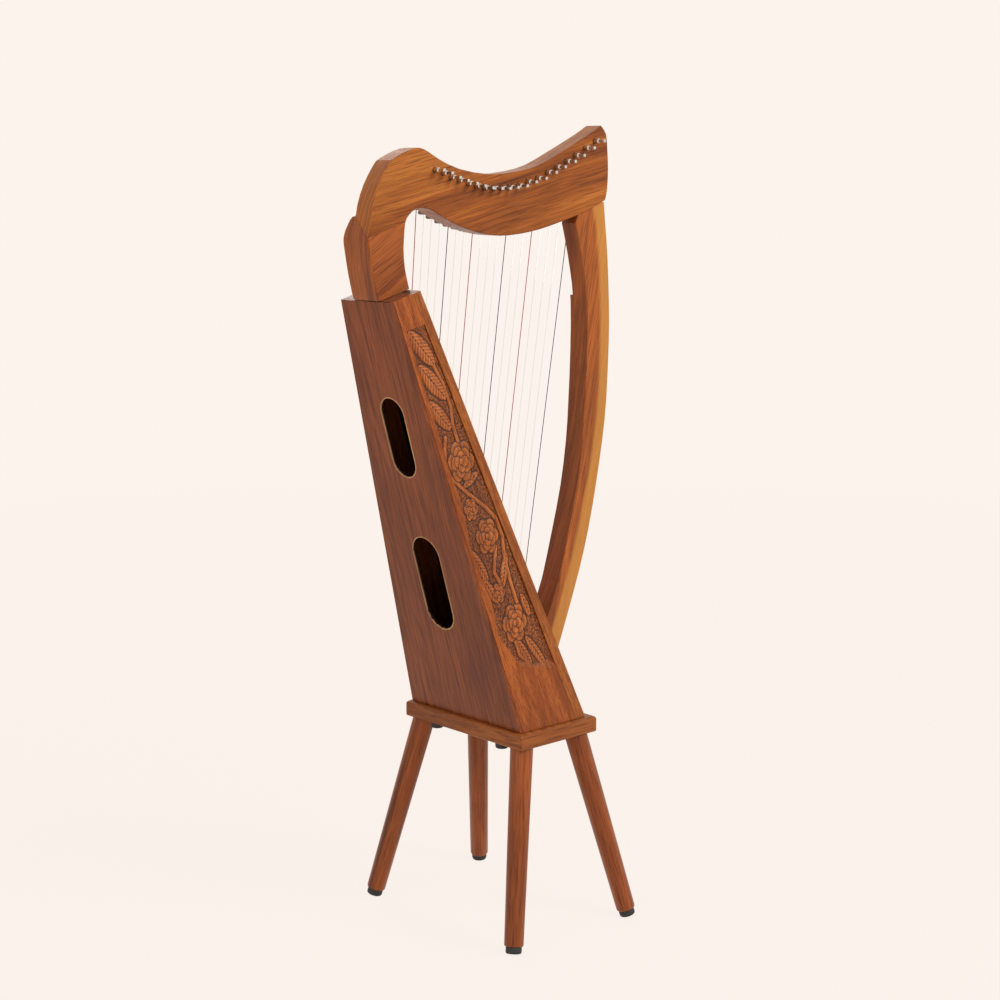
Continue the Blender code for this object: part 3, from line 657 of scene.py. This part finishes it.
def carving(x, z, rng):
    """Height of the rose vine over its stippled ground, 0 to 1."""
    relief = np.zeros(x.shape)
    for points in STEMS:
        relief = np.maximum(relief, stem_height(x, z, points))
    for base, tip, width in LEAVES:
        relief = np.maximum(relief, leaf_height(x, z, base, tip, width))
    for cx, cz, radius in ROSES:
        flower = rose_height(x, z, cx, cz, radius)
        relief = np.where(flower > 0.02, flower, relief)
    cells = rng.random(((x.shape[0] + 1) // 2, (x.shape[1] + 1) // 2))
    stipple = np.repeat(np.repeat(cells, 2, axis=0), 2, axis=1)[:x.shape[0], :x.shape[1]]
    figure = (relief > 0.03).astype(float)
    ground = (0.06 + 0.36 * stipple) * (1.0 - smooth(blurred(figure, 2) * 2.4))
    return np.where(figure > 0, np.clip(relief, 0.1, 1), ground)


def blurred(values, reach):
    """Mean over a square of cells about each one."""
    for axis in (0, 1):
        shifts = range(-reach, reach + 1)
        values = sum(np.roll(values, k, axis=axis) for k in shifts) / len(shifts)
    return values


def make_carving(side, sign, mat):
    """Carved field of one side panel, seated in the panel's sunken recess."""
    rows, columns = CARVING_GRID
    zs = np.array([p[1] for p in CARVING_BORDER])
    xs = np.array([p[0] for p in CARVING_BORDER])
    t = np.linspace(0.0, 1.0, rows)[:, None]
    s = np.linspace(0.0, 1.0, columns)[None, :]
    left_z = zs[0] + (zs[-1] - zs[0]) * t
    left_x = np.interp(left_z, zs, xs)
    right_z = CARVING_FOOT[1] + (CARVING_TOP[1] - CARVING_FOOT[1]) * t
    right_x = on_line(SEAM_LINE, right_z) - SEAM_MARGIN
    x = left_x + (right_x - left_x) * s
    z = left_z + (right_z - left_z) * s
    height = carving(x, z, np.random.default_rng(SEED))
    height = height * np.minimum(s * SIDE_FADE, 1.0) * np.minimum((1 - t) * TOP_FADE, 1.0)
    # Painted light and shade of the carving: darker on low ground and in creases, lighter on high
    # parts and ridges
    crease = height - blurred(blurred(height, CREASE_REACH), CREASE_REACH)
    tone = np.clip(PAINTED_SHADE_BASE + PAINTED_LIGHT_BY_HEIGHT * height + PAINTED_CREASE_SHADE * crease, 0, 1)
    end = 5.0 + 2.5 * np.sin(s * 9.0) + 1.5 * np.sin(s * 23.0 + 1.0)
    runout = smooth((t * (zs[-1] - zs[0]) - end) / RUNOUT)
    height = 1.0 + (height - 1.0) * runout
    tone = PLAIN_TONE + (tone - PLAIN_TONE) * runout
    lift = GROUND_LIFT + (CARVING_DEPTH - SURFACE_DROP) * height
    y = sign * (half_width(z) - CARVING_DEPTH + lift)
    points = np.stack((x, y, z), axis=-1).reshape(-1, 3) * MM
    index = np.arange(rows * columns).reshape(rows, columns)
    quads = np.stack((index[:-1, :-1], index[:-1, 1:], index[1:, 1:], index[1:, :-1]), axis=-1)
    quads = quads.reshape(-1, 4)
    if sign > 0:
        quads = quads[:, ::-1]
    mesh = bpy.data.meshes.new("carving_" + side)
    mesh.from_pydata(points.tolist(), [], quads.tolist())
    # the relief attribute carries the painted light and shade, not a height
    layer = mesh.attributes.new("relief", "FLOAT", "POINT")
    layer.data.foreach_set("value", tone.reshape(-1).astype(np.float32))
    mesh.shade_smooth()
    mesh.materials.append(mat)
    obj = bpy.data.objects.new("carving_" + side, mesh)
    bpy.context.scene.collection.objects.link(obj)
    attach(obj, "frame")


def make_carvings():
    mat = wood("wood_carved", SIDE_GRAIN, "carved", carved=True)
    make_carving("right", -1, mat)
    make_carving("left", 1, mat)


def seen_directly(tree):
    """1 for rays that show the backdrop to the camera, in a mirror or through something clear."""
    path = node(tree, "LightPath")
    seen = math_node(tree, "ADD", path.outputs["Is Camera Ray"], path.outputs["Is Glossy Ray"])
    return math_node(tree, "ADD", seen, path.outputs["Is Transmission Ray"], clamp=True)


def make_floor():
    """Pale floor that keeps the shadow and turns into the backdrop farther out."""
    bm = bmesh.new()
    bmesh.ops.create_grid(bm, x_segments=1, y_segments=1, size=FLOOR_SIZE)
    mesh = bpy.data.meshes.new("floor")
    bm.to_mesh(mesh)
    bm.free()
    floor = bpy.data.objects.new("floor", mesh)
    floor.location.z = -FLOOR_DROP
    bpy.context.scene.collection.objects.link(floor)
    mat, tree = new_material("pale_floor")
    seen = seen_directly(tree)
    diffuse = node(tree, "BsdfDiffuse")
    diffuse.inputs["Color"].default_value = (*FLOOR_COLOUR, 1.0)
    glow = node(tree, "Emission")
    glow.inputs["Color"].default_value = (*BACKGROUND, 1.0)
    away = node(tree, "VectorMath", operation="LENGTH")
    tree.links.new(node(tree, "TexCoord").outputs["Object"], away.inputs[0])
    past = math_node(tree, "SUBTRACT", away.outputs["Value"], FLOOR_NEAR)
    fade = math_node(tree, "MULTIPLY", past, 1.0 / (FLOOR_FAR - FLOOR_NEAR), True)
    glow_share = math_node(tree, "ADD", math_node(tree, "MULTIPLY", fade, 1.0 - FLOOR_GLOW),
                           FLOOR_GLOW, True)
    share = math_node(tree, "MULTIPLY", seen, glow_share)
    mix = node(tree, "MixShader")
    tree.links.new(share, mix.inputs[0])
    tree.links.new(diffuse.outputs[0], mix.inputs[1])
    tree.links.new(glow.outputs[0], mix.inputs[2])
    out = node(tree, "OutputMaterial")
    tree.links.new(mix.outputs[0], out.inputs[0])
    mesh.materials.append(mat)


def make_world():
    world = bpy.data.worlds.new("studio")
    bpy.context.scene.world = world
    world.use_nodes = True
    tree = world.node_tree
    tree.nodes.clear()
    seen = seen_directly(tree)
    light = node(tree, "Background")
    light.inputs["Color"].default_value = (*WORLD_LIGHT, 1.0)
    light.inputs["Strength"].default_value = WORLD_STRENGTH
    backdrop = node(tree, "Background")
    backdrop.inputs["Color"].default_value = (*BACKGROUND, 1.0)
    mix = node(tree, "MixShader")
    tree.links.new(seen, mix.inputs[0])
    tree.links.new(light.outputs[0], mix.inputs[1])
    tree.links.new(backdrop.outputs[0], mix.inputs[2])
    out = node(tree, "OutputWorld")
    tree.links.new(mix.outputs[0], out.inputs[0])


def make_lamp(name, place, aim, size, power):
    data = bpy.data.lights.new(name, "AREA")
    data.shape = "DISK"
    data.size = size
    data.energy = power
    data.color = LAMP_COLOUR
    lamp = bpy.data.objects.new(name, data)
    lamp.location = place
    lamp.rotation_euler = (Vector(aim) - Vector(place)).to_track_quat("-Z", "Y").to_euler()
    bpy.context.scene.collection.objects.link(lamp)


def main():
    make_camera()
    make_world()
    for lamp in LAMPS:
        make_lamp(*lamp)
    make_floor()
    dress_frame()
    make_carvings()
    bpy.context.scene.view_settings.view_transform = "Standard"


main()
